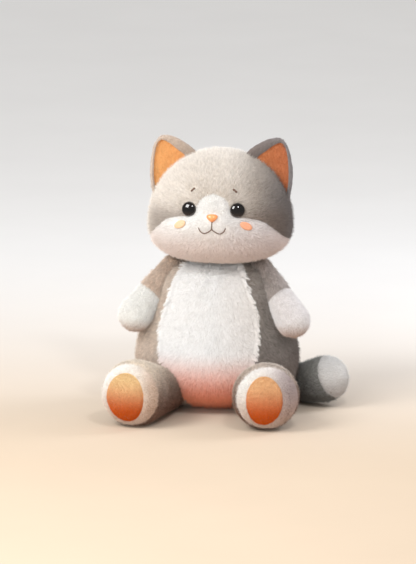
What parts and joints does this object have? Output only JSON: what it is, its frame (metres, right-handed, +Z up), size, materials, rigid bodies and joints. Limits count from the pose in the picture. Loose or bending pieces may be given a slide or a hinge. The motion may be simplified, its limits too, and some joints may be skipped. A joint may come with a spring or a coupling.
{
  "type": "plush cat",
  "caption": "Seated plush cat with turning head, jointed arms and legs, a curled tail, safety eyes and nose, and appliqued belly, face and paw panels.",
  "frame": {"origin": "middle of the flat seat of the body, on the plane it rests on", "axes": "+Z up; the cat faces -Y; +X is its left side"},
  "size_m": [0.2962, 0.2584, 0.3541],
  "materials": {
    "grey_plush": "matte",
    "white_plush": "matte",
    "orange_plush": "matte",
    "peach_felt": "matte",
    "brown_thread": "matte",
    "fibre_stuffing": "matte",
    "linen_pouch": "matte",
    "eye_plastic": "gloss",
    "nose_plastic": "gloss",
    "joint_plastic": "matte"
  },
  "bodies": {
    "torso": {"body_cover": "grey_plush", "belly_panel": "white_plush", "body_stuffing": "fibre_stuffing", "pellet_pouch": "linen_pouch", "neck_joint_washer": "joint_plastic", "left_shoulder_washer": "joint_plastic", "right_shoulder_washer": "joint_plastic", "left_hip_washer": "joint_plastic", "right_hip_washer": "joint_plastic"},
    "head": {"crown_cover": "grey_plush", "face_panel": "white_plush", "head_stuffing": "fibre_stuffing", "nose": "nose_plastic", "nose_lock": "joint_plastic", "mouth_stitching": "brown_thread", "neck_joint_disc": "joint_plastic", "neck_joint_lock": "joint_plastic", "left_eye": "eye_plastic", "right_eye": "eye_plastic", "left_eye_lock": "joint_plastic", "right_eye_lock": "joint_plastic", "left_brow": "brown_thread", "right_brow": "brown_thread", "left_cheek_patch": "peach_felt", "right_cheek_patch": "peach_felt"},
    "tail": {"tail_cover": "grey_plush", "tail_tip": "white_plush", "tail_stuffing": "fibre_stuffing"},
    "left_ear": {"left_ear_back": "grey_plush", "left_ear_lining": "orange_plush"},
    "left_arm": {"left_arm_sleeve": "grey_plush", "left_mitt": "white_plush", "left_arm_stuffing": "fibre_stuffing", "left_shoulder_disc": "joint_plastic", "left_shoulder_lock": "joint_plastic"},
    "left_leg": {"left_leg_cover": "grey_plush", "left_foot_band": "white_plush", "left_foot_pad": "orange_plush", "left_leg_stuffing": "fibre_stuffing", "left_hip_disc": "joint_plastic", "left_hip_lock": "joint_plastic"},
    "right_ear": {"right_ear_back": "grey_plush", "right_ear_lining": "orange_plush"},
    "right_arm": {"right_arm_sleeve": "grey_plush", "right_mitt": "white_plush", "right_arm_stuffing": "fibre_stuffing", "right_shoulder_disc": "joint_plastic", "right_shoulder_lock": "joint_plastic"},
    "right_leg": {"right_leg_cover": "grey_plush", "right_foot_band": "white_plush", "right_foot_pad": "orange_plush", "right_leg_stuffing": "fibre_stuffing", "right_hip_disc": "joint_plastic", "right_hip_lock": "joint_plastic"}
  },
  "joints": [
    {"name": "neck_turn", "type": "hinge", "parent": "torso", "child": "head", "pos_m": [0.004, 0, 0.187], "axis": [0, 0, 1], "continuous": true},
    {"name": "left_shoulder", "type": "hinge", "parent": "torso", "child": "left_arm", "pos_m": [0.076, -0.013, 0.172], "axis": [0.8886, -0.0623, 0.4544], "range_deg": [-70, 4]},
    {"name": "left_hip", "type": "hinge", "parent": "torso", "child": "left_leg", "pos_m": [0.057, -0.049, 0.035], "axis": [0.9598, 0.2808, 0], "range_deg": [-12, 14]},
    {"name": "left_ear_flex", "type": "hinge", "parent": "head", "child": "left_ear", "pos_m": [0.0665, 0.008, 0.3055], "axis": [0.72, 0, -0.694], "range_deg": [-20, 20], "stiffness_Nm_per_rad": 0.01},
    {"name": "right_shoulder", "type": "hinge", "parent": "torso", "child": "right_arm", "pos_m": [-0.076, -0.013, 0.172], "axis": [0.8886, 0.0623, -0.4544], "range_deg": [-70, 4]},
    {"name": "right_hip", "type": "hinge", "parent": "torso", "child": "right_leg", "pos_m": [-0.057, -0.049, 0.035], "axis": [0.9598, -0.2808, 0], "range_deg": [-12, 14]},
    {"name": "right_ear_flex", "type": "hinge", "parent": "head", "child": "right_ear", "pos_m": [-0.0585, 0.008, 0.3055], "axis": [0.72, 0, 0.694], "range_deg": [-20, 20], "stiffness_Nm_per_rad": 0.01},
    {"name": "tail_root", "type": "hinge", "parent": "torso", "child": "tail", "pos_m": [0.066, 0.062, 0.022], "axis": [0, 0, 1], "range_deg": [0, 50]}
  ]
}
